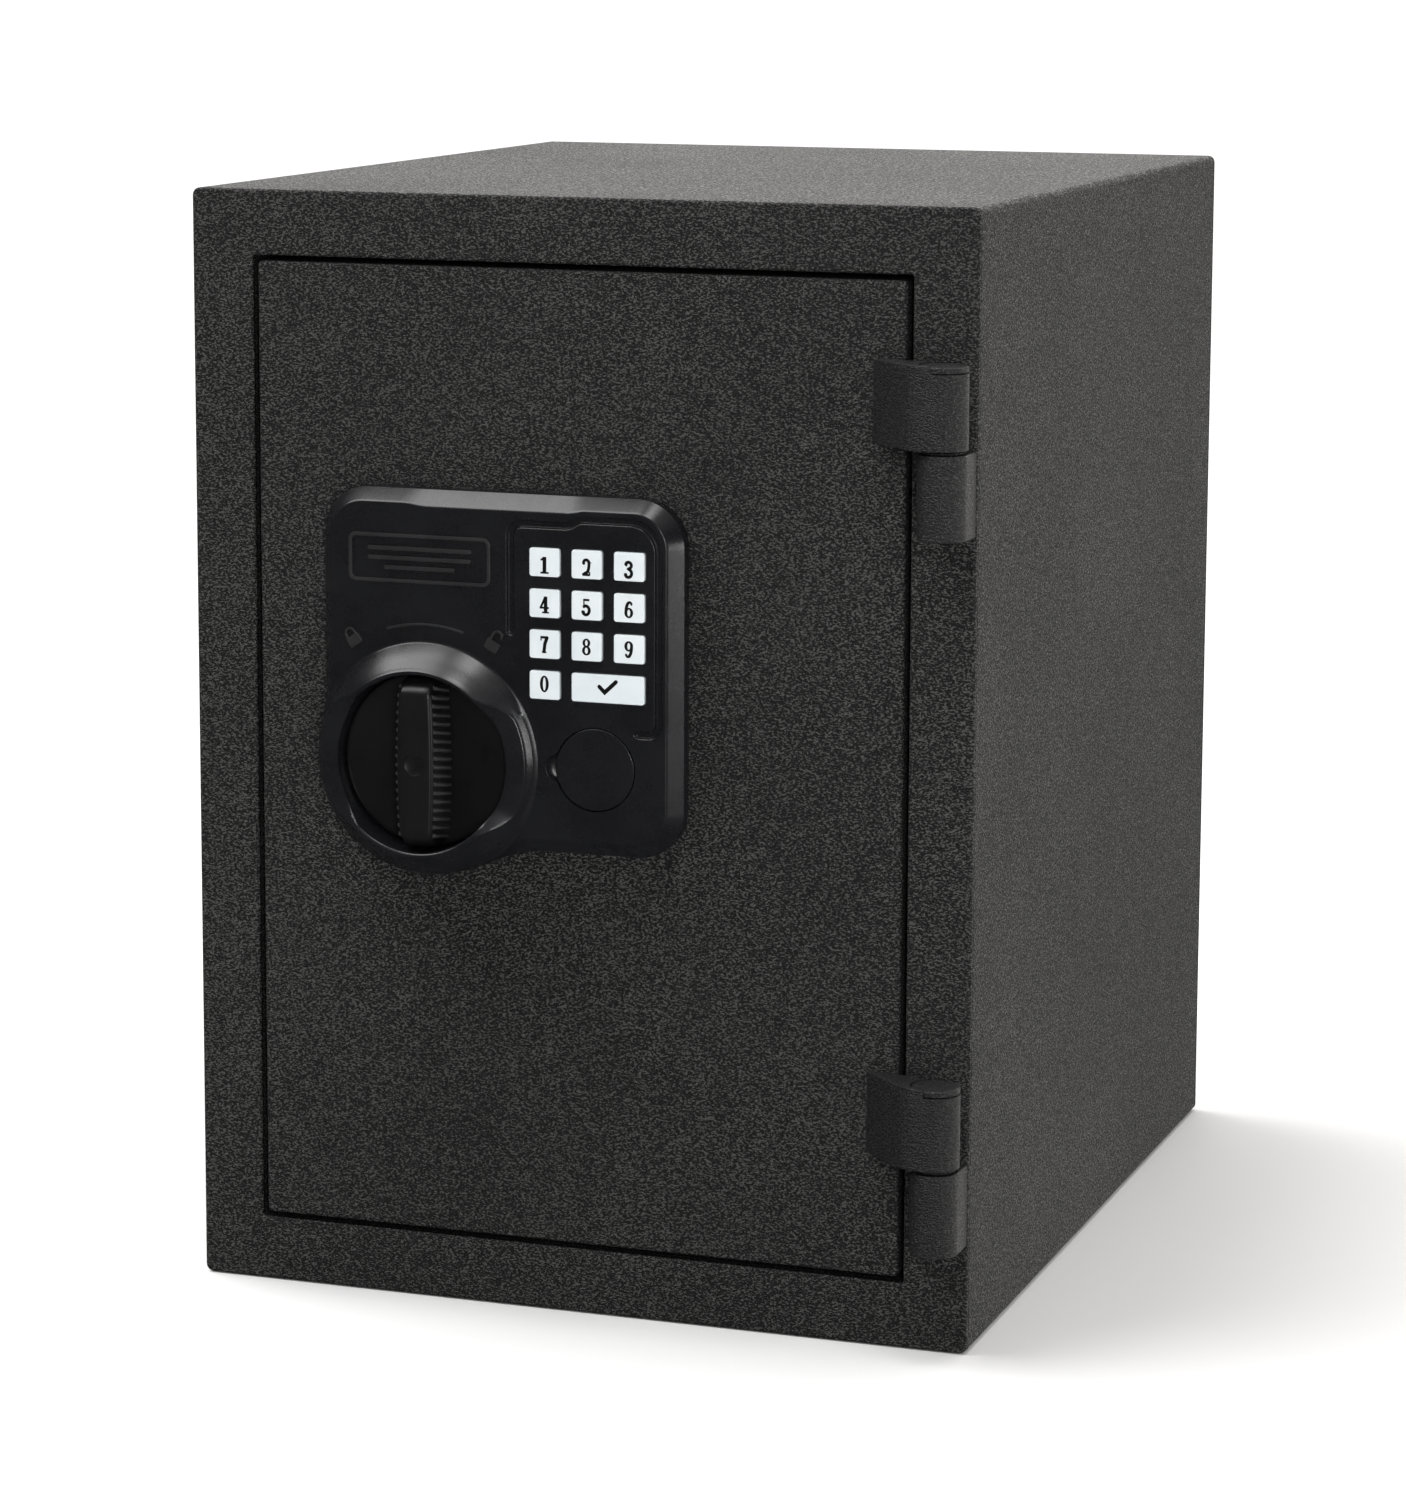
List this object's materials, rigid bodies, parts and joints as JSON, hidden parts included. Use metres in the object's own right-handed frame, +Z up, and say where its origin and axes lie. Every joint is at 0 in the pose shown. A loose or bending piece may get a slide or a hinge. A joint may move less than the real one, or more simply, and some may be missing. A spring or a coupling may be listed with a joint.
{
  "type": "home safe",
  "caption": "Fire-resistant steel home safe with a hinged front door, a keypad lock with a turn knob and locking bolts, and a shelf inside.",
  "frame": {"origin": "middle of the base, on the floor", "axes": "+X to the hinge side, +Y to the back, +Z up; the door faces -Y"},
  "size_m": [0.325, 0.414, 0.445],
  "materials": {
    "cabinet_paint": "fine textured black-grey powder coat",
    "hinge_paint": "textured black-grey powder coat",
    "liner_plastic": "satin moulded charcoal",
    "insulation": "cast fire-resistant fill",
    "seal": "heat-swelling strip",
    "carpet": "needle-punched charcoal carpet",
    "rubber": "soft black",
    "bezel_plastic": "satin black",
    "knob_plastic": "satin black",
    "key_plastic": "satin cool white",
    "steel": "zinc-plated",
    "bolt_chrome": "polished plate",
    "brass": "turned",
    "circuit_board": "green solder mask",
    "battery": "dark sleeve"
  },
  "bodies": {
    "cabinet": {"outer_shell": "cabinet_paint", "back_panel": "cabinet_paint", "front_frame": "cabinet_paint", "inner_liner": "liner_plastic", "cabinet_insulation": "insulation", "door_seal": "seal", "floor_mat": "carpet", "bolt_channel_left": "steel", "bolt_channel_right": "steel", "shelf_rail_left": "liner_plastic", "shelf_rail_right": "liner_plastic", "hinge_knuckle_lower": "hinge_paint", "hinge_washer_lower": "brass", "hinge_pin_lower": "hinge_paint", "hinge_knuckle_upper": "hinge_paint", "hinge_washer_upper": "brass", "hinge_pin_upper": "hinge_paint"},
    "shelf": {"shelf": "cabinet_paint"},
    "door": {"hinge_leaf_lower": "hinge_paint", "hinge_leaf_upper": "hinge_paint", "door_panel": "cabinet_paint", "door_insulation": "insulation", "door_inner_cover": "liner_plastic", "lock_bezel": "bezel_plastic", "keypad_mat": "rubber", "keypad_board": "circuit_board", "lock_cylinder": "brass", "spindle_bushing": "key_plastic", "bolt_guide_plate": "steel", "fixed_bolt_bracket": "steel", "fixed_bolt_lower": "bolt_chrome", "fixed_bolt_upper": "bolt_chrome", "solenoid": "steel", "control_board": "circuit_board", "battery_box": "liner_plastic", "battery_1": "battery", "battery_2": "battery", "battery_3": "battery", "battery_4": "battery"},
    "knob": {"turn_knob": "knob_plastic", "cam_disc": "steel", "knob_spindle": "steel"},
    "bolts": {"bolt_carriage": "steel", "locking_bolt_lower": "bolt_chrome", "locking_bolt_upper": "bolt_chrome"},
    "plunger": {"solenoid_plunger": "bolt_chrome"},
    "key_plug": {"key_plug": "brass"},
    "keyhole_cover": {"keyhole_cover": "bezel_plastic"},
    "battery_cover": {"battery_cover": "liner_plastic"},
    "key_1": {"key_1": "key_plastic"},
    "key_2": {"key_2": "key_plastic"},
    "key_3": {"key_3": "key_plastic"},
    "key_4": {"key_4": "key_plastic"},
    "key_5": {"key_5": "key_plastic"},
    "key_6": {"key_6": "key_plastic"},
    "key_7": {"key_7": "key_plastic"},
    "key_8": {"key_8": "key_plastic"},
    "key_9": {"key_9": "key_plastic"},
    "key_0": {"key_0": "key_plastic"},
    "key_enter": {"key_enter": "key_plastic"}
  },
  "joints": [
    {"name": "door_swing", "type": "hinge", "parent": "cabinet", "child": "door", "pos_m": [0.1525, -0.2074, 0.2225], "axis": [0, 0, 1], "range_deg": [0, 180]},
    {"name": "knob_turn", "type": "hinge", "parent": "door", "child": "knob", "pos_m": [-0.0583, -0.207, 0.2228], "axis": [0, -1, 0], "range_deg": [0, 90]},
    {"name": "bolt_throw", "type": "slide", "parent": "door", "child": "bolts", "axis": [-1, 0, 0], "range_m": [0, 0.02]},
    {"name": "plunger_drop", "type": "slide", "parent": "door", "child": "plunger", "axis": [0, 0, 1], "range_m": [0, 0.005]},
    {"name": "keyhole_cover_off", "type": "slide", "parent": "door", "child": "keyhole_cover", "axis": [0, -1, 0], "range_m": [0, 0.03]},
    {"name": "override_key_turn", "type": "hinge", "parent": "door", "child": "key_plug", "pos_m": [0.013, -0.202, 0.2233], "axis": [0, -1, 0], "range_deg": [-90, 0]},
    {"name": "battery_cover_off", "type": "slide", "parent": "door", "child": "battery_cover", "axis": [0, 1, 0], "range_m": [0, 0.02]},
    {"name": "shelf_lift", "type": "slide", "parent": "cabinet", "child": "shelf", "axis": [0, 0, 1], "range_m": [0, 0.1]},
    {"name": "key_1_press", "type": "slide", "parent": "door", "child": "key_1", "axis": [0, 1, 0], "range_m": [0, 0.0009], "stiffness_N_per_m": 1200, "springref_m": -0.0003},
    {"name": "key_2_press", "type": "slide", "parent": "door", "child": "key_2", "axis": [0, 1, 0], "range_m": [0, 0.0009], "stiffness_N_per_m": 1200, "springref_m": -0.0003},
    {"name": "key_3_press", "type": "slide", "parent": "door", "child": "key_3", "axis": [0, 1, 0], "range_m": [0, 0.0009], "stiffness_N_per_m": 1200, "springref_m": -0.0003},
    {"name": "key_4_press", "type": "slide", "parent": "door", "child": "key_4", "axis": [0, 1, 0], "range_m": [0, 0.0009], "stiffness_N_per_m": 1200, "springref_m": -0.0003},
    {"name": "key_5_press", "type": "slide", "parent": "door", "child": "key_5", "axis": [0, 1, 0], "range_m": [0, 0.0009], "stiffness_N_per_m": 1200, "springref_m": -0.0003},
    {"name": "key_6_press", "type": "slide", "parent": "door", "child": "key_6", "axis": [0, 1, 0], "range_m": [0, 0.0009], "stiffness_N_per_m": 1200, "springref_m": -0.0003},
    {"name": "key_7_press", "type": "slide", "parent": "door", "child": "key_7", "axis": [0, 1, 0], "range_m": [0, 0.0009], "stiffness_N_per_m": 1200, "springref_m": -0.0003},
    {"name": "key_8_press", "type": "slide", "parent": "door", "child": "key_8", "axis": [0, 1, 0], "range_m": [0, 0.0009], "stiffness_N_per_m": 1200, "springref_m": -0.0003},
    {"name": "key_9_press", "type": "slide", "parent": "door", "child": "key_9", "axis": [0, 1, 0], "range_m": [0, 0.0009], "stiffness_N_per_m": 1200, "springref_m": -0.0003},
    {"name": "key_0_press", "type": "slide", "parent": "door", "child": "key_0", "axis": [0, 1, 0], "range_m": [0, 0.0009], "stiffness_N_per_m": 1200, "springref_m": -0.0003},
    {"name": "key_enter_press", "type": "slide", "parent": "door", "child": "key_enter", "axis": [0, 1, 0], "range_m": [0, 0.0009], "stiffness_N_per_m": 1200, "springref_m": -0.0003}
  ],
  "couplings": [
    {"joint": "bolt_throw", "follows": "knob_turn", "m_per_rad": 0.012732},
    {"joint": "plunger_drop", "follows": "knob_turn", "m_per_rad": 0.0031831}
  ]
}
